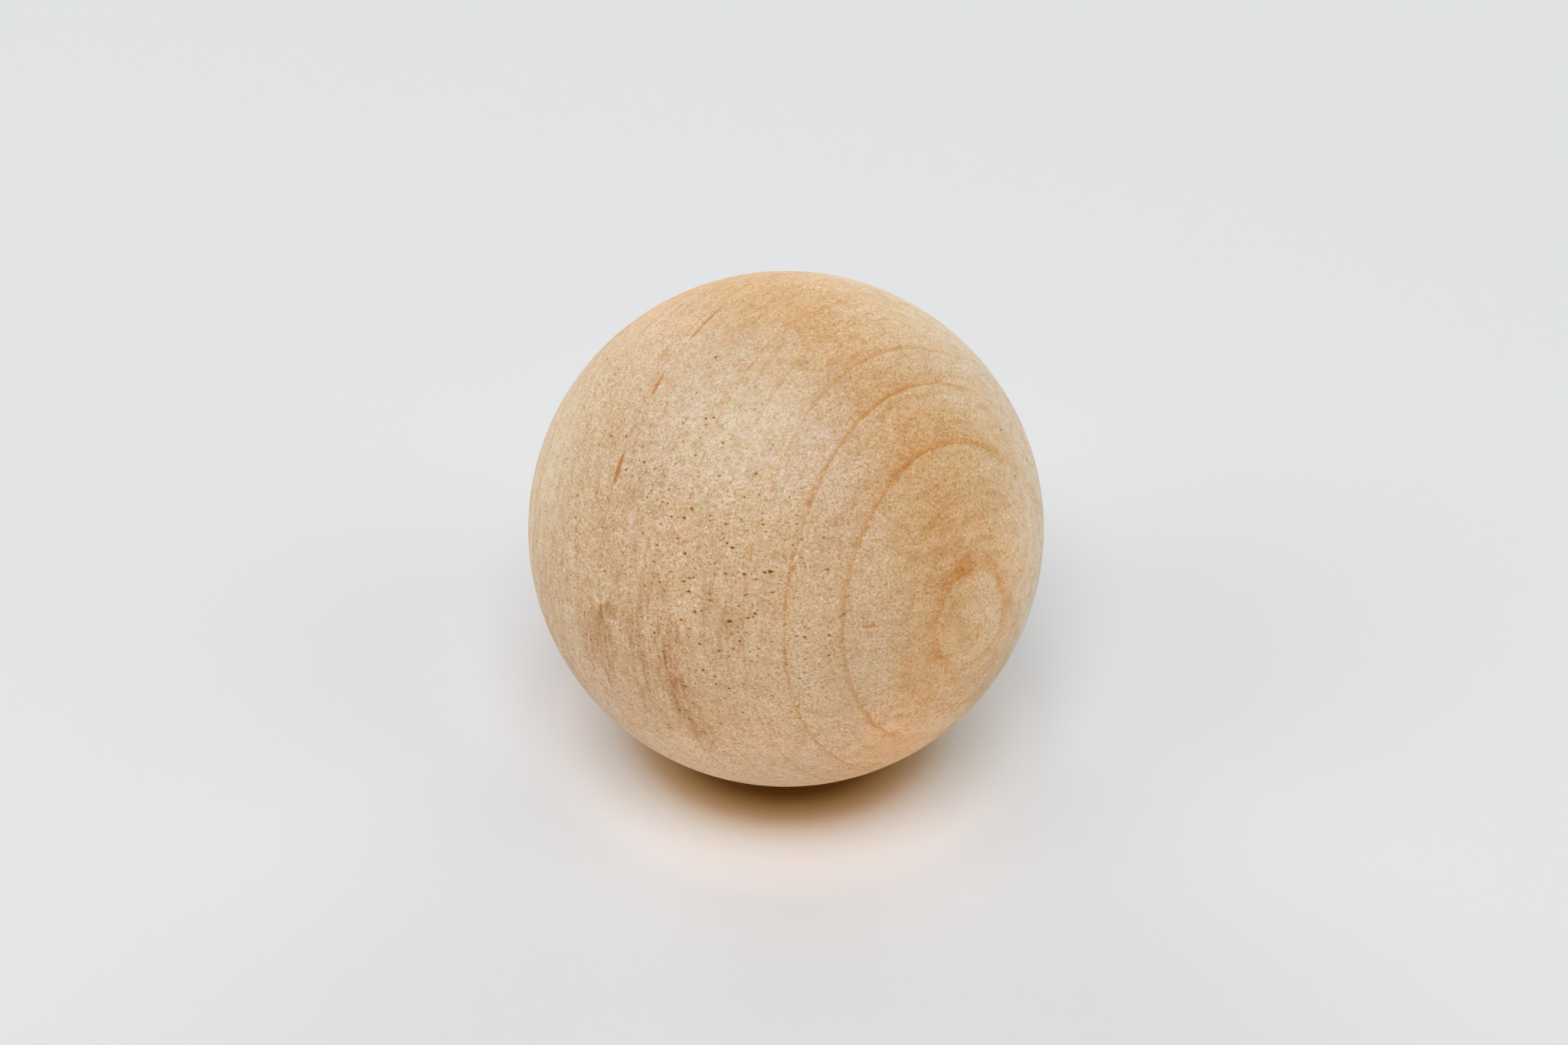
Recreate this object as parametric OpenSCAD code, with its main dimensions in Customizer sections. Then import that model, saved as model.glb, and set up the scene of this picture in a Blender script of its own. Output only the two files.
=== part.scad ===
// Turned wooden ball.
//
// One solid piece of pale hardwood, turned between centres and sanded smooth.
// Apart from its round surface it has only the shallow dimple that each turning
// centre left, one at either end of the turning axis. The grain of the wood
// runs along that axis.
//
// Millimetres. The origin is the centre of the ball. +Z is up as it lies on a
// table, and -Y is the side that faces the person looking at it.

/* [Ball] */
// Diameter of the finished ball
ball_d = 38.1; // [12:0.1:80]

/* [Centre marks] */
// Width of the dimple at each end of the turning axis
mark_d = 1.2; // [0.8:0.1:4]
// Depth of the dimple at its middle, measured from its rim
mark_depth = 0.1; // [0.04:0.01:0.3]

/* [How it lies] */
// Turn of the turning axis about the vertical, from +X towards +Y
axis_turn = -135; // [-180:1:180]
// Rise of the turning axis above the table
axis_rise = 12; // [-90:1:90]

/* [Hidden] */
$fn = 180;

ball_r = ball_d / 2;
mark_r = mark_d / 2;

// The rim of a dimple is a circle on the ball, this far along the axis
rim_height = sqrt(pow(ball_r, 2) - pow(mark_r, 2));
// The bowl of a dimple is part of a sphere that passes through its rim
bowl_r = (pow(mark_r, 2) + pow(mark_depth, 2)) / (2 * mark_depth);
bowl_height = rim_height - mark_depth + bowl_r;

// The turner's template: half of the ball's outline, with the turning axis
// along Y and the two dimples cut into its ends
module ball_section() {
    difference() {
        intersection() {
            circle(r = ball_r);
            translate([0, -ball_r]) square([ball_r, ball_d]);
        }
        for (end = [-1, 1])
            translate([0, end * bowl_height]) circle(r = bowl_r);
    }
}

// The ball, turned about its axis and then laid down as it lies
module ball() {
    color("burlywood")
        rotate([0, 90 - axis_rise, axis_turn])
            rotate_extrude() ball_section();
}

ball();
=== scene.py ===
import math

import bmesh
import bpy
from mathutils import Matrix, Vector, kdtree


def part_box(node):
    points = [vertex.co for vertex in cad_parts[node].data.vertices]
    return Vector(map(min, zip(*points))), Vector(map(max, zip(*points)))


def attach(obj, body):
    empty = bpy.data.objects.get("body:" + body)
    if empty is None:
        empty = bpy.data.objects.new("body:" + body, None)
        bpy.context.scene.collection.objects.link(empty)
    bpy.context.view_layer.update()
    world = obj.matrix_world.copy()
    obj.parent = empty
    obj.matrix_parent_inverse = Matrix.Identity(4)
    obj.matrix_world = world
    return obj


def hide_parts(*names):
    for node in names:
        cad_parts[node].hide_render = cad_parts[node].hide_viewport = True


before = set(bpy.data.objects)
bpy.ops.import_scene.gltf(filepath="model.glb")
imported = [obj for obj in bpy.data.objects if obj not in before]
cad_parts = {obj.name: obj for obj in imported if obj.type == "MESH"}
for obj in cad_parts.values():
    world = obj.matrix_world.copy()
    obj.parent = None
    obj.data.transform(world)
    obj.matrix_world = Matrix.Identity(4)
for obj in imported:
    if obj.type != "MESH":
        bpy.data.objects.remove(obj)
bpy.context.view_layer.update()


# The wood it is cut from.
# A split billet of close-grained pale hardwood. The grain runs along the turning
# axis, and the bark lay towards the front right, so each year's growth is part of
# a wide cylinder about a pith far behind the ball.
axis_turn = math.radians(-135)
axis_rise = math.radians(12)
bark_rise = math.radians(8.3)
grain = Vector((
    math.cos(axis_rise) * math.cos(axis_turn),
    math.cos(axis_rise) * math.sin(axis_turn),
    math.sin(axis_rise),
))
level_side = grain.cross(Vector((0, 0, 1))).normalized() * -1
bark = level_side * math.cos(bark_rise) + grain.cross(level_side) * math.sin(bark_rise)
along_ring = grain.cross(bark)
to_wood = Matrix((bark, along_ring, grain))


# The open vessels.
# The wood's water vessels are cut across where the grain meets the surface, and
# the largest stay open as dark specks. They lie thickest on the end grain, part
# of the way out to the bark, and each is a little longer that way.
MM = 0.001
low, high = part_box("ball")
ball_radius = min(high - low) / 2
mouth_small = 0.028 * MM
mouth_large = 0.068 * MM
mouths_per_mm2 = 0.75
mouth_stretch = 1.6
raggedness = 0.16 * MM
# the widest ones, at both ends of the grain: bark-ward, along the ring, radius
big_mouths = (
    (11.87, 4.43, 0.1014), (10.06, 0.62, 0.0936), (7.22, 2.31, 0.0858), (6.48, 4.89, 0.0624),
    (11.47, 1.39, 0.0702), (9.43, 5.78, 0.0624), (9.42, -1.73, 0.0624), (7.18, 3.30, 0.0624),
    (10.65, 7.51, 0.0546), (7.47, -0.39, 0.0624), (8.57, 7.25, 0.0546), (5.74, 5.80, 0.0546),
    (6.80, 3.00, 0.0624), (5.54, 1.99, 0.0546), (1.25, 9.84, 0.0546),
)


def in_wood(across, ring_way, deep):
    """The place this many millimetres bark-ward, along the ring and along the grain."""
    return (bark * across + along_ring * ring_way + grain * deep) * MM


def on_surface(across, ring_way, end):
    """Where the fibre at this place across the grain leaves the ball, at its near (1) or far (-1) end."""
    deep = math.sqrt(max(ball_radius ** 2 - (across ** 2 + ring_way ** 2) * MM ** 2, 0)) / MM
    return in_wood(across, ring_way, end * deep)


def wire(tree, kind, inputs=(), **settings):
    """Adds a node with its settings, and gives each input a value or joins it to another output."""
    node = tree.nodes.new(kind)
    for name, value in settings.items():
        setattr(node, name, value)
    for name, value in dict(inputs).items():
        socket = node.inputs[name]
        if isinstance(value, bpy.types.NodeSocket):
            tree.links.new(value, socket)
        else:
            socket.default_value = value
    return node


def calc(tree, operation, *values):
    """One sum on numbers."""
    return wire(tree, "ShaderNodeMath", enumerate(values), operation=operation).outputs[0]


def along(tree, operation, *values):
    """One sum on vectors. A dot product, length or distance comes back as a number."""
    names = [0, 1, 2] if operation != "SCALE" else [0, "Scale"]
    node = wire(tree, "ShaderNodeVectorMath", zip(names, values), operation=operation)
    number = operation in ("DOT_PRODUCT", "LENGTH", "DISTANCE")
    return node.outputs["Value" if number else "Vector"]


def ease(tree, value, start, end, low=0.0, high=1.0):
    """A soft step: low where value is at start, high where it is at end."""
    node = wire(tree, "ShaderNodeMapRange", {
        "Value": value, "From Min": start, "From Max": end, "To Min": low, "To Max": high,
    }, interpolation_type="SMOOTHSTEP")
    return node.outputs["Result"]


def new_group(name, inputs):
    """A geometry tree with named inputs, and its input and output nodes."""
    tree = bpy.data.node_groups.new(name, "GeometryNodeTree")
    tree.interface.new_socket("Geometry", in_out="INPUT", socket_type="NodeSocketGeometry")
    for label, kind, value in inputs:
        socket = tree.interface.new_socket(label, in_out="INPUT", socket_type="NodeSocket" + kind)
        if value is not None:
            socket.default_value = value
    tree.interface.new_socket("Geometry", in_out="OUTPUT", socket_type="NodeSocketGeometry")
    return tree, tree.nodes.new("NodeGroupInput").outputs, tree.nodes.new("NodeGroupOutput").inputs


def grow(piece, tree, values):
    """Runs a geometry tree on a piece and returns what it makes as a plain mesh."""
    modifier = piece.modifiers.new(tree.name, "NODES")
    modifier.node_group = tree
    for item in tree.interface.items_tree:
        if item.item_type == "SOCKET" and item.in_out == "INPUT" and item.name in values:
            modifier[item.identifier] = values[item.name]
    bpy.context.view_layer.update()
    shape = bpy.data.meshes.new_from_object(piece.evaluated_get(bpy.context.evaluated_depsgraph_get()))
    piece.modifiers.remove(modifier)
    return shape


def new_piece(name, data):
    """Puts a mesh, a lamp or a camera into the scene."""
    piece = bpy.data.objects.new(name, data)
    scene.collection.objects.link(piece)
    return piece


wood = bpy.data.materials.new("pale_hardwood")
scene = bpy.context.scene

tree, given, result = new_group("vessel_mouths", (
    ("Ball radius", "Float", 0.02),
    ("Grain", "Vector", (0, 0, 1)),
    ("Thickest at", "Vector", (0, 0, 0)),
    ("Mouths per square metre", "Float", 1e6),
    ("Smallest", "Float", mouth_small),
    ("Largest", "Float", mouth_large),
    ("Seed", "Int", 0),
))
place = tree.nodes.new("GeometryNodeInputPosition").outputs[0]
endness = calc(tree, "DIVIDE", calc(tree, "ABSOLUTE", along(tree, "DOT_PRODUCT", place, given["Grain"])),
               given["Ball radius"])
apart = along(tree, "SUBTRACT", place, given["Thickest at"])
apart = along(tree, "CROSS_PRODUCT", apart, given["Grain"])
nearness = ease(tree, calc(tree, "DIVIDE", along(tree, "LENGTH", apart), given["Ball radius"]), 0.75, 0.1)
on_end_grain = ease(tree, endness, 0.35, 0.95, 0.02, 1.0)
thick = calc(tree, "MULTIPLY", on_end_grain, calc(tree, "MULTIPLY_ADD", nearness, 0.8, 0.2))
spread = wire(tree, "GeometryNodeDistributePointsOnFaces", {
    "Mesh": given["Geometry"], "Density": calc(tree, "MULTIPLY", thick, given["Mouths per square metre"]),
    "Seed": given["Seed"],
})
chance = wire(tree, "FunctionNodeRandomValue", {2: 0.0, 3: 1.0, "Seed": given["Seed"]}, data_type="FLOAT")
size_share = calc(tree, "POWER", chance.outputs[1], 2.6)
size_range = calc(tree, "SUBTRACT", given["Largest"], given["Smallest"])
mouth_size = calc(tree, "MULTIPLY_ADD", size_share, size_range, given["Smallest"])
marked = wire(tree, "GeometryNodeStoreNamedAttribute", {
    "Geometry": spread.outputs["Points"], "Name": "mouth_radius", "Value": mouth_size,
}, data_type="FLOAT", domain="POINT")
verts = wire(tree, "GeometryNodePointsToVertices", {"Points": marked.outputs[0]})
real = wire(tree, "GeometryNodeRealizeInstances", {"Geometry": verts.outputs[0]})
done = wire(tree, "GeometryNodeSetMaterial", {"Geometry": real.outputs[0], "Material": wood})
tree.links.new(done.outputs[0], result["Geometry"])

blank = bmesh.new()
bmesh.ops.create_icosphere(blank, subdivisions=7, radius=ball_radius)
blank_mesh = bpy.data.meshes.new("ball_blank")
blank.to_mesh(blank_mesh)
ball = new_piece("turned_ball", blank_mesh)
scattered = grow(ball, tree, {
    "Ball radius": ball_radius,
    "Grain": grain,
    "Thickest at": in_wood(8.0, 1.0, 0.0),
    "Mouths per square metre": mouths_per_mm2 / MM ** 2,
    "Seed": 5,
})
mouths = bmesh.new()
mouths.from_mesh(scattered)
size_layer = mouths.verts.layers.float["mouth_radius"]
for across, ring_way, radius in big_mouths:
    for end in (1, -1):
        mouths.verts.new(on_surface(across, ring_way, end))[size_layer] = radius * MM
mouths.to_mesh(scattered)
mouth_places = kdtree.KDTree(len(mouths.verts))
for index, vert in enumerate(mouths.verts):
    mouth_places.insert(vert.co, index)
mouth_places.balance()
mouth_points = new_piece("vessel_mouths", scattered)


# The surface.
# The ball was turned and sanded true. Only its two centre marks and the vessels'
# mouths go below the surface, so the mesh is fine there and plain everywhere else.
mark_width = 1.2 * MM
mark_depth = 0.1 * MM
near_mark = grain * ball_radius
edge_at_mouth = 0.046 * MM
edge_at_mark = 0.060 * MM
splits = 5


def finest_edge(place):
    """How long an edge of the mesh may be here."""
    _, _, from_mouth = mouth_places.find(place)
    from_mark = min((place - near_mark).length, (place + near_mark).length)
    return min(
        edge_at_mouth + 0.55 * max(from_mouth - 0.10 * MM, 0),
        edge_at_mark + 0.40 * max(from_mark - mark_width * 0.6, 0),
    )


for _ in range(splits):
    long_edges = [
        edge for edge in blank.edges
        if edge.calc_length() > 1.4 * finest_edge((edge.verts[0].co + edge.verts[1].co) / 2)
    ]
    if not long_edges:
        break
    bmesh.ops.subdivide_edges(blank, edges=long_edges, cuts=1, use_grid_fill=True)
    for vert in blank.verts:
        vert.co = vert.co.normalized() * ball_radius
    bmesh.ops.triangulate(blank, faces=[face for face in blank.faces if len(face.verts) > 3])
blank.to_mesh(blank_mesh)
blank.free()

tree, given, result = new_group("worked_surface", (
    ("Turning axis", "Vector", (0, 0, 1)),
    ("Mark width", "Float", mark_width),
    ("Mark depth", "Float", mark_depth),
    ("Ball radius", "Float", 0.02),
    ("Mouths", "Object", None),
    ("Mouth stretch", "Float", mouth_stretch),
    ("Towards bark", "Vector", (1, 0, 0)),
    ("Raggedness", "Float", 0.0),
))
place = tree.nodes.new("GeometryNodeInputPosition").outputs[0]
outward = along(tree, "NORMALIZE", place)

# each mouth is a small bowl, drawn out towards the bark
points = wire(tree, "GeometryNodeObjectInfo", {"Object": given["Mouths"]}, transform_space="RELATIVE")
nearest = wire(tree, "GeometryNodeSampleNearest", {
    "Geometry": points.outputs["Geometry"],
}, domain="POINT")
at_mouth = wire(tree, "GeometryNodeSampleIndex", {
    "Geometry": points.outputs["Geometry"], "Value": place, "Index": nearest.outputs[0],
}, data_type="FLOAT_VECTOR", domain="POINT")
radius_name = wire(tree, "GeometryNodeInputNamedAttribute", {"Name": "mouth_radius"}, data_type="FLOAT")
mouth_radius = wire(tree, "GeometryNodeSampleIndex", {
    "Geometry": points.outputs["Geometry"], "Value": radius_name.outputs[0], "Index": nearest.outputs[0],
}, data_type="FLOAT", domain="POINT").outputs[0]
offset = along(tree, "SUBTRACT", place, at_mouth.outputs[0])
torn = wire(tree, "ShaderNodeTexNoise", {"Vector": place, "Scale": 8.0 / MM, "Detail": 0.0}).outputs["Color"]
torn = along(tree, "SCALE", along(tree, "SUBTRACT", torn, (0.5, 0.5, 0.5)), given["Raggedness"])
offset = along(tree, "ADD", offset, torn)
bark_way = along(tree, "DOT_PRODUCT", offset, given["Towards bark"])
grain_way = along(tree, "DOT_PRODUCT", offset, given["Turning axis"])
round_ring = along(tree, "CROSS_PRODUCT", given["Turning axis"], given["Towards bark"])
ring_way = along(tree, "DOT_PRODUCT", offset, round_ring)
bark_way = calc(tree, "DIVIDE", bark_way, given["Mouth stretch"])
grain_way = calc(tree, "MULTIPLY", grain_way, 0.45)
squares = [calc(tree, "MULTIPLY", way, way) for way in (bark_way, ring_way, grain_way)]
reach = calc(tree, "SQRT", calc(tree, "ADD", calc(tree, "ADD", squares[0], squares[1]), squares[2]))
reach = calc(tree, "DIVIDE", reach, mouth_radius)
open_mouth = ease(tree, reach, 1.25, 0.55)
mouth_drop = calc(tree, "MULTIPLY", calc(tree, "MULTIPLY", open_mouth, mouth_radius), 1.3)

inward = along(tree, "SCALE", outward, calc(tree, "MULTIPLY", mouth_drop, -1.0))
sunk = wire(tree, "GeometryNodeSetPosition", {"Geometry": given["Geometry"], "Offset": inward})

# the bowl that each turning centre pressed, as a part of a sphere through its rim
place = tree.nodes.new("GeometryNodeInputPosition").outputs[0]
half_width = calc(tree, "MULTIPLY", given["Mark width"], 0.5)
width_squared = calc(tree, "MULTIPLY", half_width, half_width)
depth = given["Mark depth"]
bowl_radius = calc(tree, "DIVIDE", calc(tree, "MULTIPLY_ADD", depth, depth, width_squared),
                   calc(tree, "MULTIPLY", depth, 2.0))
radius_squared = calc(tree, "MULTIPLY", given["Ball radius"], given["Ball radius"])
rim_height = calc(tree, "SQRT", calc(tree, "SUBTRACT", radius_squared, width_squared))
bowl_middle = calc(tree, "ADD", calc(tree, "SUBTRACT", rim_height, depth), bowl_radius)
height = along(tree, "DOT_PRODUCT", place, given["Turning axis"])
tall = calc(tree, "ABSOLUTE", height)
from_axis = along(tree, "LENGTH", along(tree, "CROSS_PRODUCT", place, given["Turning axis"]))
inside = calc(tree, "MAXIMUM", calc(tree, "SUBTRACT", calc(tree, "MULTIPLY", bowl_radius, bowl_radius),
                                    calc(tree, "MULTIPLY", from_axis, from_axis)), 0.0)
bowl_height = calc(tree, "SUBTRACT", bowl_middle, calc(tree, "SQRT", inside))
new_height = calc(tree, "SMOOTH_MIN", tall, bowl_height, 0.012 * MM)
change = calc(tree, "MULTIPLY", calc(tree, "SUBTRACT", new_height, tall), calc(tree, "SIGN", height))
by_mark = wire(tree, "FunctionNodeCompare", {
    "A": from_axis, "B": calc(tree, "MULTIPLY", half_width, 1.6),
}, data_type="FLOAT", operation="LESS_THAN")
pressed = wire(tree, "GeometryNodeSetPosition", {
    "Geometry": sunk.outputs[0],
    "Offset": along(tree, "SCALE", given["Turning axis"], change),
    "Selection": by_mark.outputs[0],
})
smooth = wire(tree, "GeometryNodeSetShadeSmooth", {"Geometry": pressed.outputs[0], "Shade Smooth": True})
real = wire(tree, "GeometryNodeRealizeInstances", {"Geometry": smooth.outputs[0]})
done = wire(tree, "GeometryNodeSetMaterial", {"Geometry": real.outputs[0], "Material": wood})
tree.links.new(done.outputs[0], result["Geometry"])

# how far a point lies in the nearest mouth, and on its lip, goes with the mesh for their colours
stored = wire(tree, "GeometryNodeStoreNamedAttribute", {
    "Geometry": given["Geometry"], "Name": "open_mouth", "Value": open_mouth,
}, data_type="FLOAT", domain="POINT")
edge_stored = wire(tree, "GeometryNodeStoreNamedAttribute", {
    "Geometry": stored.outputs[0], "Name": "round_mouth", "Value": ease(tree, reach, 2.2, 1.0),
}, data_type="FLOAT", domain="POINT")
tree.links.new(edge_stored.outputs[0], sunk.inputs["Geometry"])

worked = grow(ball, tree, {
    "Turning axis": grain,
    "Mark width": mark_width,
    "Mark depth": mark_depth,
    "Ball radius": ball_radius,
    "Mouths": mouth_points,
    "Mouth stretch": mouth_stretch,
    "Towards bark": bark,
    "Raggedness": raggedness,
})
bpy.data.objects.remove(mouth_points)
ball.data = worked


# The look of the wood.
# Bare, sanded and a little handled. Side grain is warm and orange, end grain cooler
# and pinkish, each year ends in a thin darker line, and short fibres mottle it all.
wood.use_nodes = True
tree = wood.node_tree
shader = tree.nodes["Principled BSDF"]
where = tree.nodes.new("ShaderNodeTexCoord").outputs["Object"]
in_grain = wire(tree, "ShaderNodeMapping", {
    "Vector": where, "Rotation": to_wood.to_euler(), "Scale": (1 / MM,) * 3,
}).outputs[0]
parts = wire(tree, "ShaderNodeSeparateXYZ", {0: in_grain}).outputs
barkward, ringward, deep = parts[0], parts[1], parts[2]
radius_mm = ball_radius / MM
endness = calc(tree, "DIVIDE", calc(tree, "ABSOLUTE", deep), radius_mm)


def noise(vector, scale, detail=2.0, rough=0.5, stretch=(1, 1, 1), shift=(0, 0, 0)):
    """Smooth noise from 0 to 1. scale counts waves in a millimetre; stretch above 1 squeezes that way."""
    spot = wire(tree, "ShaderNodeMapping", {"Vector": vector, "Scale": stretch, "Location": shift})
    return wire(tree, "ShaderNodeTexNoise", {
        "Vector": spot.outputs[0], "Scale": scale, "Detail": detail, "Roughness": rough,
    }, noise_dimensions="3D").outputs["Fac"]


def ramp(value, *stops):
    """A run of colours or of shades, each (place, colour). A bare number is a grey."""
    node = wire(tree, "ShaderNodeValToRGB", {"Fac": value})
    band = node.color_ramp
    while len(band.elements) < len(stops):
        band.elements.new(1.0)
    for element, (at, tint) in zip(band.elements, stops):
        element.position = at
        element.color = (*((tint,) * 3 if isinstance(tint, (int, float)) else tint), 1.0)
    return node.outputs["Color"]


def blend(kind, share, first, second):
    """Mixes or multiplies two colours, given as sockets or as red, green and blue."""
    first, second = [(*tint, 1.0) if isinstance(tint, tuple) else tint for tint in (first, second)]
    node = wire(tree, "ShaderNodeMix", {0: share, 6: first, 7: second}, data_type="RGBA", blend_type=kind)
    return node.outputs[2]


def tinted(body, share, tint):
    """The body's colour times a tint, as far as share says."""
    return blend("MULTIPLY", share, body, tint)


def away_from(place):
    """How far a point of the wood lies from this place in it, in mm."""
    return along(tree, "DISTANCE", in_grain, place)


# years, as the distance from the pith, with the trunk's lean, twist and swelling
pith_mm = 76.0
pith_aside = 0.72
# each bend follows a power of the way round the ring times a power of the way along the grain:
# the two powers, and its shift at one ball radius both ways, in ball radii
bends = ((0, 1, 0.027), (1, 1, 0.131), (1, 2, -0.094), (2, 1, -0.112), (0, 3, -0.028), (3, 0, 0.021))
to_pith = calc(tree, "ADD", barkward, pith_mm)
aside = calc(tree, "SUBTRACT", ringward, pith_aside)
round_pith = calc(tree, "SQRT", calc(tree, "ADD", calc(tree, "MULTIPLY", to_pith, to_pith),
                                     calc(tree, "MULTIPLY", aside, aside)))
ring_mm = calc(tree, "SUBTRACT", round_pith, pith_mm)
for ring_power, deep_power, bend in bends:
    amount = calc(tree, "MULTIPLY", calc(tree, "POWER", ringward, ring_power),
                  calc(tree, "POWER", deep, deep_power))
    ring_mm = calc(tree, "MULTIPLY_ADD", amount, bend / radius_mm ** (ring_power + deep_power - 1), ring_mm)
# a slight wave under the bark pulls the outermost ring askew
from_wave = away_from((18.5, -0.5, 2.0))
wave_here = ease(tree, from_wave, 9.0, 2.0)
askew = calc(tree, "MULTIPLY_ADD", ringward, -0.030, calc(tree, "MULTIPLY", deep, 0.016))
ring_mm = calc(tree, "MULTIPLY_ADD", wave_here, askew, ring_mm)
waver = noise(in_grain, 0.22, 2.0, 0.5, stretch=(1, 1, 0.3))
ring_mm = calc(tree, "MULTIPLY_ADD", calc(tree, "SUBTRACT", waver, 0.5), 0.22, ring_mm)
fray = noise(in_grain, 2.2, 2.0, 0.6, stretch=(1, 1, 0.35))
fray_mm = calc(tree, "MULTIPLY_ADD", endness, 0.30, 0.05)
frayed_mm = calc(tree, "MULTIPLY_ADD", calc(tree, "SUBTRACT", fray, 0.5), fray_mm, ring_mm)

# where each year ends, in mm, and how plainly it shows
years = (
    (-19.5, 0.5), (-16.9, 0.6), (-14.4, 0.8), (-12.0, 0.5), (-9.6, 0.6), (-7.3, 0.4),
    (-4.9, 0.35), (-2.6, 0.25), (-0.15, 0.55), (1.9, 0.2), (4.0, 0.3), (6.2, 0.45),
    (8.6, 0.25), (11.05, 0.55), (13.3, 0.9), (16.0, 1.0), (18.78, 0.8),
)
first_year, last_year = years[0][0], years[-1][0]
how_far_out = wire(tree, "ShaderNodeMapRange", {
    "Value": frayed_mm, "From Min": first_year, "From Max": last_year, "To Min": 0.0, "To Max": 1.0,
}, clamp=True).outputs["Result"]


def plotted(value, heights):
    """A line drawn through one height for each year's end."""
    node = wire(tree, "ShaderNodeFloatCurve", {"Value": value})
    curve = node.mapping.curves[0]
    places = [(edge - first_year) / (last_year - first_year) for edge, _ in years]
    for index, spot in enumerate(zip(places, heights)):
        if index in (0, len(years) - 1):
            curve.points[-1 if index else 0].location = spot
        else:
            curve.points.new(*spot)
    for point in curve.points:
        point.handle_type = "VECTOR"
    node.mapping.update()
    return node.outputs[0]


count = len(years) - 1
year = calc(tree, "MULTIPLY", plotted(how_far_out, [index / count for index in range(count + 1)]), count)
beyond = calc(tree, "MAXIMUM", calc(tree, "SUBTRACT", frayed_mm, last_year), 0.0)
season = calc(tree, "FRACT", calc(tree, "MULTIPLY_ADD", beyond, 0.4, year))
plainness = plotted(how_far_out, [shown for _, shown in years])
line = ramp(season, (0.0, 1.0), (0.014, 0.0), (0.905, 0.0), (0.960, 0.75), (1.0, 1.0))
line = calc(tree, "POWER", line, ease(tree, from_wave, 2.0, 7.0, 2.3, 1.0))
late = ramp(season, (0.0, 0.25), (0.12, 0.0), (0.35, 0.1), (0.75, 0.6), (1.0, 1.0))
line_patch = noise(in_grain, 0.20, 1.0, 0.5, stretch=(0.6, 1, 0.8), shift=(3, 1, 0))
line_patch = ease(tree, line_patch, 0.3, 0.65, 0.65, 1.0)
line_share = calc(tree, "MULTIPLY", calc(tree, "MULTIPLY", line, plainness), line_patch)
low_on_bark_side = away_from((17.5, -9.0, 1.0))
line_share = calc(tree, "MULTIPLY", line_share, ease(tree, low_on_bark_side, 3.0, 7.0, 0.15, 1.0))
line_share = calc(tree, "MULTIPLY", line_share, ease(tree, deep, -6.5, -1.5, 0.25, 1.0))
late_share = calc(tree, "MULTIPLY", late, plainness)
late_share = calc(tree, "MULTIPLY", late_share, ease(tree, from_wave, 3.0, 7.0, 0.22, 0.75))

# the ground colour, from side grain to end grain, and the years drawn on it
side_grain = (0.775, 0.510, 0.272)
end_grain = (0.765, 0.565, 0.365)
late_on_side, late_on_end = (0.96, 0.83, 0.66), (0.985, 0.92, 0.86)
line_on_side, line_on_end = (0.93, 0.72, 0.44), (0.90, 0.735, 0.52)
end_share = ease(tree, endness, 0.12, 0.54)
body = blend("MIX", end_share, side_grain, end_grain)
body = tinted(body, late_share, blend("MIX", end_share, late_on_side, late_on_end))
body = tinted(body, line_share, blend("MIX", end_share, line_on_side, line_on_end))

# clouds of paler and browner wood, and some pale clouds of painted light, each marked: centre, how far it
# reaches, tint
clouds_and_painted_light = (
    # painted highlight: the soft gloss of the front lamp on the upper left, as a pale cream cloud
    ((5.3, 13.4, 12.4), 11.5, (1.06, 1.17, 1.34)),
    ((-9.0, 6.0, 13.5), 10.5, (1.02, 1.11, 1.18)),
    ((14.4, 12.6, 1.8), 6.5, (1.00, 0.97, 0.92)),
    ((17.9, -3.2, 5.2), 3.0, (0.98, 0.93, 0.86)),
    ((1.5, 4.5, 18.2), 3.5, (1.04, 1.06, 1.09)),
    ((4.5, -7.0, 16.8), 6.5, (0.99, 0.94, 0.89)),
    ((-0.6, -3.4, 18.3), 3.0, (0.95, 0.89, 0.85)),
    ((7.0, -2.0, 17.5), 5.0, (1.06, 1.08, 1.12)),
    ((4.0, 18.0, 6.0), 3.5, (1.01, 1.05, 1.09)),
    ((-4.0, 17.5, 5.0), 5.0, (0.96, 0.98, 1.00)),
    ((5.0, 16.0, 9.0), 3.5, (0.97, 0.94, 0.88)),
    ((11.0, 15.0, -1.0), 9.0, (1.00, 1.04, 1.11)),
    ((13.0, 12.0, 6.5), 7.0, (1.03, 1.07, 1.16)),
    ((7.0, 11.5, 13.0), 9.0, (1.06, 1.09, 1.11)),
    ((8.0, -7.0, 16.0), 4.0, (0.98, 0.95, 0.90)),
    ((14.5, -7.5, 9.5), 4.8, (0.94, 0.92, 0.91)),
    # painted bounce light: the lower left-hand limb made paler, as if lit from the table
    ((-1.5, -9.0, 17.0), 6.0, (1.08, 1.05, 1.08)),
    ((17.5, 6.5, 0.5), 3.2, (1.05, 1.07, 1.13)),
    ((6.0, 7.0, 17.0), 3.5, (0.99, 0.96, 0.92)),
    # painted bounce light and sheen: the lower right-hand limb made paler
    ((16.5, -8.0, 2.5), 9.5, (1.18, 1.19, 1.25)),
    # partly the wood's paler far end, partly a painted sheen along the right-hand limb
    ((18.0, 0.5, -4.5), 9.0, (1.14, 1.17, 1.26)),
    ((18.5, 3.4, 1.6), 1.7, (0.94, 0.81, 0.64)),
)
for middle, reach, tint in clouds_and_painted_light:
    near = ease(tree, away_from(middle), reach, reach * 0.15)
    body = tinted(body, near, tint)
# paler towards the far end of the grain: partly the wood's own tone, partly a painted sheen along the
# right-hand limb
pale_far_end_and_sheen = ease(tree, deep, 5.0, -4.0)
body = tinted(body, pale_far_end_and_sheen, (1.03, 1.16, 1.32))
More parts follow.
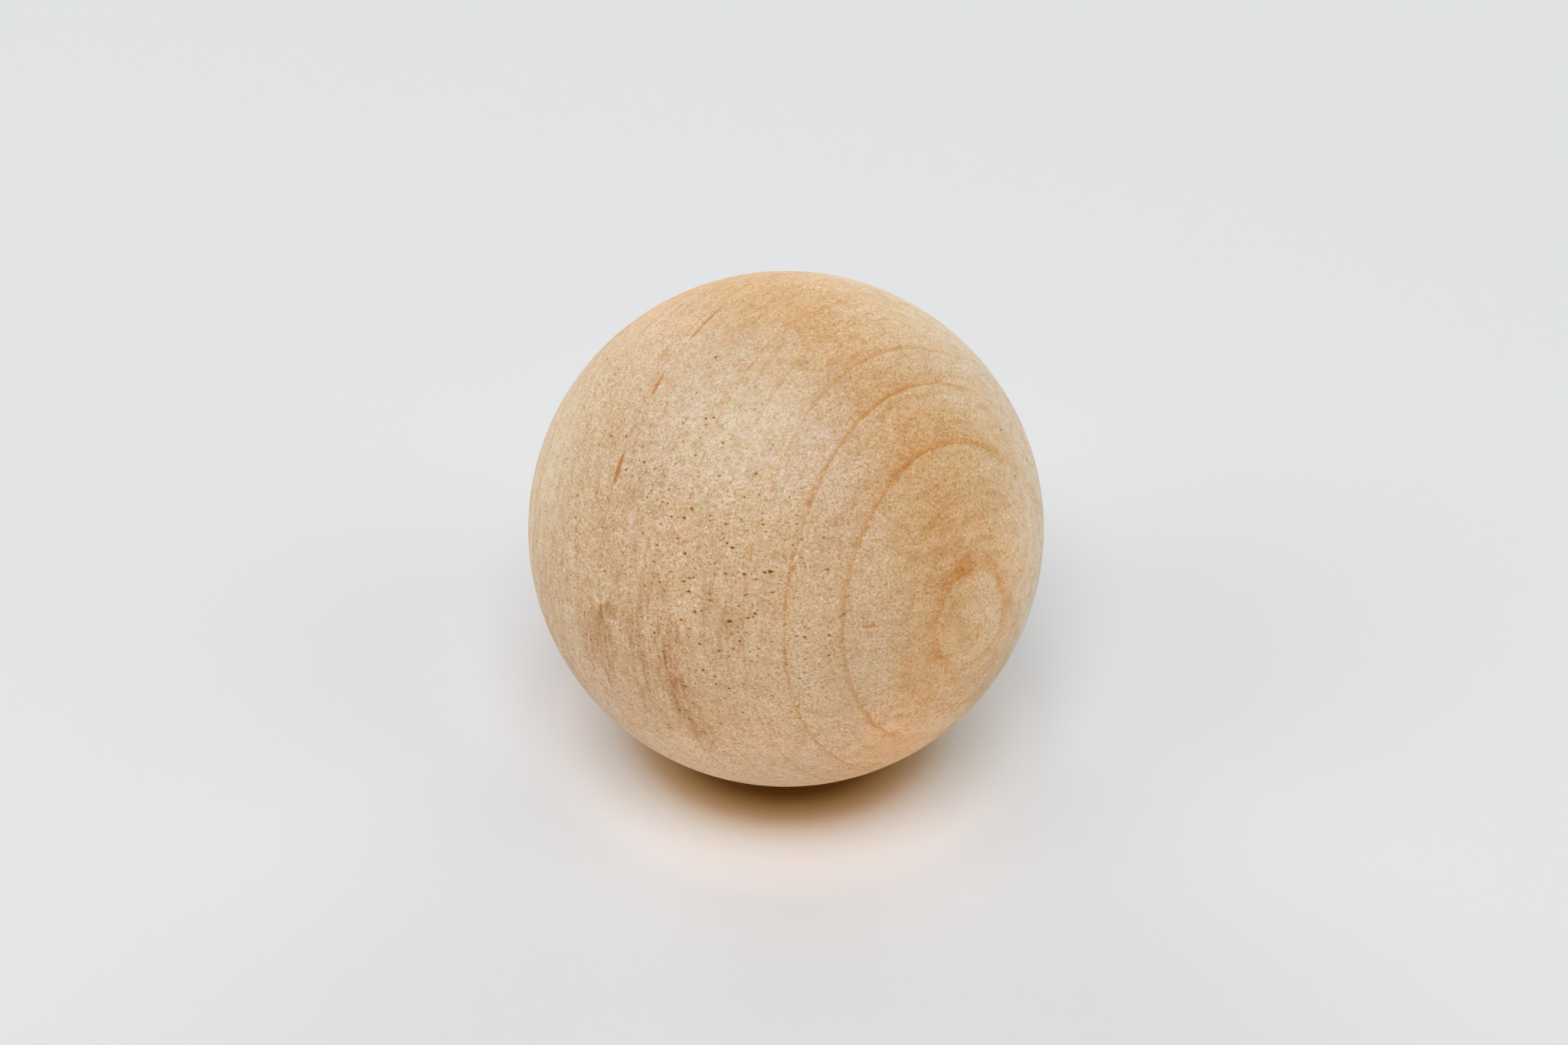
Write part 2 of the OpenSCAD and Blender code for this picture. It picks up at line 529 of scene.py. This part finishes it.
# painted bounce light: the lower front of the ball made paler and warmer, as if lit by the table in front of
# it
painted_bounce_light = ease(tree, away_from((10.0, -20.0, 8.0)), 18.5, 10.0)
body = tinted(body, painted_bounce_light, (1.29, 1.25, 1.22))
drift = noise(in_grain, 0.16, 3.0, 0.55, stretch=(1, 0.7, 0.5), shift=(7, 2, 5))
body = tinted(body, 0.7, ramp(drift, (0.3, (0.94, 0.91, 0.88)), (0.5, 1.0), (0.7, (1.04, 1.06, 1.08))))

# growth streaks on the end grain, then soft patches, and the mottle of short curling fibres
ring_spot = wire(tree, "ShaderNodeCombineXYZ", {0: frayed_mm, 1: ringward, 2: deep}).outputs[0]
streaks = noise(ring_spot, 1.5, 3.0, 0.62, stretch=(1, 0.20, 0.15), shift=(0, 4, 0))
streak_share = ease(tree, endness, 0.62, 0.98, 0.35, 1.0)
streak_tints = ramp(streaks, (0.30, (0.90, 0.83, 0.74)), (0.47, 1.0), (0.70, (1.05, 1.08, 1.12)))
body = tinted(body, streak_share, streak_tints)
patches = noise(in_grain, 1.4, 2.0, 0.55, stretch=(1, 1, 0.6), shift=(1, 9, 3))
patch_tints = ramp(patches, (0.28, (0.92, 0.87, 0.77)), (0.5, 1.0), (0.72, (1.04, 1.08, 1.14)))
body = tinted(body, 1.0, patch_tints)
hues = noise(in_grain, 3.0, 1.0, 0.5, stretch=(1, 1, 0.8), shift=(6, 6, 1))
body = tinted(body, 1.0, ramp(hues, (0.3, (0.985, 1.01, 0.90)), (0.7, (1.035, 0.97, 1.04))))


def curls(scale, breadth, shift, gate_shift):
    """Short curling strokes: where smooth noise crosses its middle, broken up by a second noise."""
    line_of = noise(in_grain, scale, 1.0, 0.5, stretch=(1, 1, 0.8), shift=shift)
    off = calc(tree, "ABSOLUTE", calc(tree, "SUBTRACT", line_of, 0.5))
    gate = ease(tree, noise(in_grain, scale * 1.3, 0.0, 0.5, shift=gate_shift), 0.44, 0.58)
    return calc(tree, "MULTIPLY", ease(tree, off, breadth, 0.0), gate)


# the mottle is fainter where the ball is worn: on its pith side, at the far end and near the top
worn = ease(tree, away_from((-12.0, 5.0, 15.0)), 3.5, 10.0, 0.45, 1.0)
worn = calc(tree, "MINIMUM", worn, ease(tree, deep, -7.0, 0.0, 0.6, 1.0))
worn = calc(tree, "MINIMUM", worn, ease(tree, away_from((5.0, 14.5, 11.0)), 4.0, 9.0, 0.70, 1.0))
pale_curls = curls(3.2, 0.095, (2, 0, 7), (4, 4, 0))
dark_curls = curls(3.6, 0.085, (8, 3, 1), (0, 9, 5))
body = tinted(body, calc(tree, "MULTIPLY", pale_curls, worn), (1.09, 1.215, 1.43))
body = tinted(body, calc(tree, "MULTIPLY", dark_curls, worn), (0.86, 0.68, 0.44))
fibres = noise(in_grain, 4.6, 2.0, 0.6, stretch=(1, 1, 0.6))
fibre_share = ease(tree, endness, 0.4, 1.0, 0.75, 1.0)
fibre_tints = ramp(fibres, (0.28, (0.90, 0.79, 0.60)), (0.50, 1.0), (0.72, (1.04, 1.10, 1.20)))
body = tinted(body, fibre_share, fibre_tints)
finest = wire(tree, "ShaderNodeTexNoise", {
    "Vector": in_grain, "Scale": 9.5, "Detail": 1.0, "Roughness": 0.6,
}).outputs
finest_tints = ramp(finest["Fac"], (0.28, (0.91, 0.80, 0.61)), (0.5, 1.0), (0.72, (1.04, 1.09, 1.20)))
body = tinted(body, worn, finest_tints)

# vessels too small to stand open, cut across as ragged specks, thick in some years
torn = along(tree, "SCALE", along(tree, "SUBTRACT", finest["Color"], (0.5, 0.5, 0.5)), 0.16)
cell_at = wire(tree, "ShaderNodeMapping", {
    "Vector": along(tree, "ADD", in_grain, torn), "Scale": (0.75, 1.0, 0.06),
}).outputs[0]
cells = wire(tree, "ShaderNodeTexVoronoi", {
    "Vector": cell_at, "Scale": 3.4, "Randomness": 1.0,
}, feature="F1").outputs
chances = wire(tree, "ShaderNodeSeparateColor", {0: cells["Color"]}).outputs
speck_size = calc(tree, "MULTIPLY_ADD", calc(tree, "POWER", chances[0], 2.0), 0.20, 0.10)
speck = ease(tree, calc(tree, "DIVIDE", cells["Distance"], speck_size), 1.1, 0.5)
in_rows = noise(ring_spot, 0.9, 2.0, 0.6, stretch=(1, 0.25, 0.2), shift=(2, 8, 8))
in_rows = ease(tree, in_rows, 0.40, 0.60, 0.35, 1.30)
speck_depth = calc(tree, "MULTIPLY_ADD", chances[1], 1.45, 0.15)
speck = calc(tree, "MULTIPLY", speck, calc(tree, "MULTIPLY", ease(tree, endness, 0.35, 0.90), speck_depth))
speck = calc(tree, "MULTIPLY", speck, in_rows)
body = tinted(body, speck, blend("MIX", chances[2], (0.38, 0.18, 0.05), (0.64, 0.38, 0.16)))

# pith flecks, stained streaks and rubbed patches, each lying along a ring: its place across
# the rings and along them, half its breadth, half its length, depth of colour
flecks = (
    (-0.12, 8.95, 0.19, 1.15, 1.0), (0.17, 14.1, 0.22, 0.66, 1.0), (0.49, 17.4, 0.18, 0.80, 0.95),
    (-5.33, 5.5, 0.10, 0.90, 0.45), (-3.7, 16.9, 0.12, 0.40, 0.5), (6.15, 16.2, 0.13, 0.25, 0.45),
    (-1.6, 11.0, 0.11, 0.22, 0.6), (5.8, 11.9, 0.14, 0.28, 0.4), (13.4, 4.7, 0.11, 0.34, 0.8),
    (13.2, 9.0, 0.11, 0.26, 0.6), (16.92, 0.5, 0.24, 0.15, 0.8), (-8.2, -6.0, 0.18, 0.8, 0.8),
    (-11.5, 2.5, 0.2, 0.9, 0.9),
)
stains = (
    (-0.15, -2.5, 0.30, 1.6, 0.5), (-0.60, -3.0, 0.12, 2.0, 0.3), (0.36, -2.9, 0.12, 1.4, 0.3),
    (0.12, -1.30, 0.21, 0.80, 1.0), (0.75, -0.2, 0.35, 0.45, 0.5), (0.29, 0.79, 0.15, 0.10, 0.8),
    (1.02, 0.40, 0.20, 0.32, 0.5), (-0.05, -0.08, 0.20, 0.15, 0.5), (-0.95, 0.75, 0.24, 0.16, 0.6),
    (5.50, -2.7, 0.17, 1.1, 0.85), (5.95, -3.0, 0.13, 1.8, 0.7), (5.75, -6.6, 0.22, 3.2, 0.22),
    (6.00, -5.2, 0.18, 0.9, 0.5), (6.25, -8.4, 0.15, 1.7, 0.55), (6.50, -5.0, 0.12, 3.0, 0.40),
    (4.90, -3.8, 0.13, 3.0, 0.45), (5.30, -6.4, 0.10, 2.4, 0.35), (6.15, -6.0, 0.10, 2.4, 0.32),
    (4.35, -4.6, 0.12, 3.0, 0.4), (3.65, -4.0, 0.12, 3.4, 0.4), (7.2, -6.8, 0.15, 3.0, 0.4),
    (6.4, -9.3, 0.60, 1.1, 0.4), (2.8, -5.0, 0.12, 3.0, 0.3), (8.4, 1.0, 0.2, 3.5, 0.3),
    (-6.0, -3.0, 0.2, 4.0, 0.4), (-10.0, 6.0, 0.2, 4.0, 0.4),
)
rubbed = (
    (5.9, -3.2, 1.7, 4.2, 1.0), (0.0, -3.8, 1.3, 3.8, 0.75), (-1.6, -3.0, 1.3, 4.5, 0.6),
    (3.2, -3.0, 1.5, 4.5, 0.55), (4.6, 1.4, 1.6, 2.2, 0.55), (9.4, -1.0, 1.3, 4.0, 0.45),
    (6.4, -9.0, 1.4, 3.5, 0.6),
)


def along_rings(marks, ends, soft=0.35):
    """How deep in any of these marks a point is."""
    most = None
    for ring_at, round_at, breadth, length, strength in marks:
        side = calc(tree, "DIVIDE", calc(tree, "SUBTRACT", frayed_mm, ring_at), breadth)
        run = calc(tree, "DIVIDE", calc(tree, "SUBTRACT", ringward, round_at), length)
        end_gap = calc(tree, "POWER", calc(tree, "ABSOLUTE", run), ends)
        gap = calc(tree, "ADD", calc(tree, "MULTIPLY", side, side), end_gap)
        depth = calc(tree, "MULTIPLY", ease(tree, gap, 1.25, soft), strength)
        most = depth if most is None else calc(tree, "MAXIMUM", most, depth)
    return most


near_end = ease(tree, deep, -2.0, 2.0)
broken = noise(ring_spot, 2.4, 2.0, 0.6, stretch=(1, 0.45, 0.3), shift=(5, 5, 5))
broken = ease(tree, broken, 0.34, 0.56, 0.2, 1.0)
smears = noise(ring_spot, 3.4, 3.0, 0.62, stretch=(1, 0.16, 0.1), shift=(9, 0, 4))
rubbed_in = calc(tree, "MULTIPLY", along_rings(rubbed, 2.0, 0.0), near_end)
rows = calc(tree, "MULTIPLY", ease(tree, smears, 0.46, 0.68), ease(tree, endness, 0.55, 0.2))
body = tinted(body, calc(tree, "MULTIPLY", rows, plainness), (0.92, 0.83, 0.66))
body = tinted(body, calc(tree, "MULTIPLY", rubbed_in, 0.6), (0.93, 0.86, 0.79))
body = tinted(body, calc(tree, "MULTIPLY", rubbed_in, ease(tree, smears, 0.43, 0.64)), (0.79, 0.63, 0.45))
flecked = calc(tree, "MULTIPLY", along_rings(flecks, 3.0), near_end)
body = tinted(body, flecked, (0.90, 0.60, 0.36))
stained = calc(tree, "MULTIPLY", calc(tree, "MULTIPLY", along_rings(stains, 2.0), broken), near_end)
body = tinted(body, stained, (0.76, 0.58, 0.38))

# the near mark's pale rim, painted lighter still on its lower side, where the bowl's wall faces up to the
# light, as painted light, and the fine scores that the tool left beside it
from_axis = calc(tree, "SQRT", calc(tree, "ADD", calc(tree, "MULTIPLY", barkward, barkward),
                                    calc(tree, "MULTIPLY", ringward, ringward)))
painted_lit_rim = ease(tree, calc(tree, "ABSOLUTE", calc(tree, "SUBTRACT", from_axis, 0.50)), 0.11, 0.03)
painted_lit_rim = calc(tree, "MULTIPLY", painted_lit_rim, ease(tree, ringward, 0.4, -0.3, 0.25, 1.0))
painted_lit_rim = calc(tree, "MULTIPLY", painted_lit_rim, near_end)
body = tinted(body, painted_lit_rim, (1.12, 1.20, 1.32))
score_run = calc(tree, "SUBTRACT", barkward, 1.17)
score_rise = calc(tree, "MULTIPLY_ADD", score_run, -0.10, calc(tree, "ADD", ringward, 0.75))
scores_apart = 0.155
score_wave = calc(tree, "COSINE", calc(tree, "MULTIPLY", score_rise, math.tau / scores_apart))
score_wave = calc(tree, "MULTIPLY_ADD", score_wave, 0.5, 0.5)
score_patch = calc(tree, "MULTIPLY", ease(tree, calc(tree, "ABSOLUTE", score_run), 0.70, 0.50),
                   ease(tree, calc(tree, "ABSOLUTE", score_rise), 0.66, 0.52))
# each score is painted darker along its groove, as painted shade; the same wave cuts the groove in the bump
score = calc(tree, "MULTIPLY", calc(tree, "MULTIPLY", score_wave, score_patch), near_end)
body = tinted(body, score_patch, (0.95, 0.87, 0.80))
body = tinted(body, score, (0.82, 0.70, 0.56))

# the stained lip and the inside of an open mouth
lip = wire(tree, "ShaderNodeAttribute", attribute_name="round_mouth").outputs["Fac"]
body = tinted(body, lip, (0.89, 0.71, 0.43))
open_share = wire(tree, "ShaderNodeAttribute", attribute_name="open_mouth").outputs["Fac"]
inside = blend("MIX", chances[1], (0.26, 0.062, 0.004), (0.18, 0.080, 0.006))
body = blend("MIX", ease(tree, open_share, 0.30, 0.80, 0.0, 0.95), body, inside)

tree.links.new(body, shader.inputs["Base Color"])
tree.links.new(calc(tree, "MULTIPLY_ADD", fibres, 0.14, 0.48), shader.inputs["Roughness"])
shader.inputs["Diffuse Roughness"].default_value = 0.5
shader.inputs["Sheen Weight"].default_value = 0.07
shader.inputs["Sheen Roughness"].default_value = 0.5
shader.inputs["Specular IOR Level"].default_value = 0.13
relief = calc(tree, "ADD", calc(tree, "MULTIPLY", fibres, 0.6), calc(tree, "MULTIPLY", score, -0.6))
bumps = wire(tree, "ShaderNodeBump", {"Height": relief, "Strength": 0.15, "Distance": 0.02 * MM})
tree.links.new(bumps.outputs["Normal"], shader.inputs["Normal"])

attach(ball, "root")
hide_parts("ball")


# The table it lies on: a plain pale sheet, wide enough to fill the view. Close under
# the ball its colour holds a painted contact shadow, warm with the light that the wood throws back, and a
# faint painted shade and light further out.
floor_mesh = bpy.data.meshes.new("table_top")
half_sheet = 1.5
corners = [(half_sheet * x, half_sheet * y, -ball_radius) for x, y in ((-1, -1), (1, -1), (1, 1), (-1, 1))]
floor_mesh.from_pydata(corners, [], [(0, 1, 2, 3)])
floor = new_piece("table_top", floor_mesh)
sheet = bpy.data.materials.new("pale_sheet")
sheet.use_nodes = True
finish = sheet.node_tree.nodes["Principled BSDF"].inputs
tree = sheet.node_tree
floor_at = tree.nodes.new("ShaderNodeTexCoord").outputs["Object"]
from_ball = along(tree, "SCALE", along(tree, "MULTIPLY", floor_at, (1, 1, 0)), 1.0 / MM)
# its colour at each distance from the point that the ball stands on, in mm: painted shadow and bounce light
# close in, faint painted shade and light further out
painted_shadow_colours = (
    (8.0, (0.34, 0.19, 0.05)), (9.4, (0.58, 0.40, 0.17)), (10.7, (0.70, 0.53, 0.34)),
    (12.0, (0.83, 0.76, 0.66)), (13.4, (0.86, 0.86, 0.84)), (15.4, (0.872, 0.874, 0.888)),
    (17.4, (0.86, 0.875, 0.90)), (20.0, (0.815, 0.84, 0.875)), (24.0, (0.825, 0.852, 0.885)),
    (40.0, (0.838, 0.854, 0.868)),
)
painted_shadow_reach = painted_shadow_colours[-1][0]
under_ball = calc(tree, "DIVIDE", along(tree, "LENGTH", from_ball), painted_shadow_reach)
stops = [(away / painted_shadow_reach, colour) for away, colour in painted_shadow_colours]
tree.links.new(ramp(under_ball, *stops), finish["Base Color"])
finish["Roughness"].default_value = 0.9
finish["Specular IOR Level"].default_value = 0.2
floor_mesh.materials.append(sheet)


# The light: a pale room, brighter behind the ball, with a large soft lamp high in
# front, a weaker one at either side, and two more low down behind.
room = bpy.data.worlds.new("pale_room")
scene.world = room
room.use_nodes = True
tree = room.node_tree
room_fill = 0.147
room_behind = 0.205
look = tree.nodes.new("ShaderNodeTexCoord").outputs["Generated"]
behind = calc(tree, "MAXIMUM", along(tree, "DOT_PRODUCT", look, (0, 1, 0)), 0.0)
strength = calc(tree, "MULTIPLY_ADD", behind, room_behind, room_fill)
tree.nodes["Background"].inputs["Color"].default_value = (1, 1, 1, 1)
tree.links.new(strength, tree.nodes["Background"].inputs["Strength"])


def lamp(name, turn, rise, size, share, distance=1.2):
    """A round soft lamp that gives the table this share of a full light."""
    turn, rise = math.radians(turn), math.radians(rise)
    light = bpy.data.lights.new(name, "AREA")
    light.shape = "DISK"
    light.size = size
    light.energy = share * (math.pi * distance) ** 2 / math.sin(rise)
    towards = Vector((math.sin(turn) * math.cos(rise), -math.cos(turn) * math.cos(rise), math.sin(rise)))
    holder = new_piece(name, light)
    holder.location = towards * distance
    holder.rotation_euler = towards.to_track_quat("Z", "Y").to_euler()


lamp("front_lamp", -4, 62, 0.72, 0.455)
lamp("left_lamp", -70, 42, 0.70, 0.102)
lamp("right_lamp", 70, 42, 0.70, 0.075)
lamp("back_left_lamp", -150, 12, 0.80, 0.084)
lamp("back_right_lamp", 150, 12, 0.80, 0.070)


# The camera: looking down at the ball from the front.
view_rise = math.radians(37)
view_distance = 14.39 * ball_radius
aim_across, aim_up = -0.0013, 0.0040
camera = new_piece("camera", bpy.data.cameras.new("camera"))
scene.camera = camera
camera.data.lens = 85
camera.data.sensor_width = 36
camera.data.clip_start = 0.01
camera.data.shift_x = aim_across
camera.data.shift_y = aim_up
back = Vector((0, -math.cos(view_rise), math.sin(view_rise)))
camera.location = back * view_distance
camera.rotation_euler = back.to_track_quat("Z", "Y").to_euler()

scene.view_settings.view_transform = "Standard"
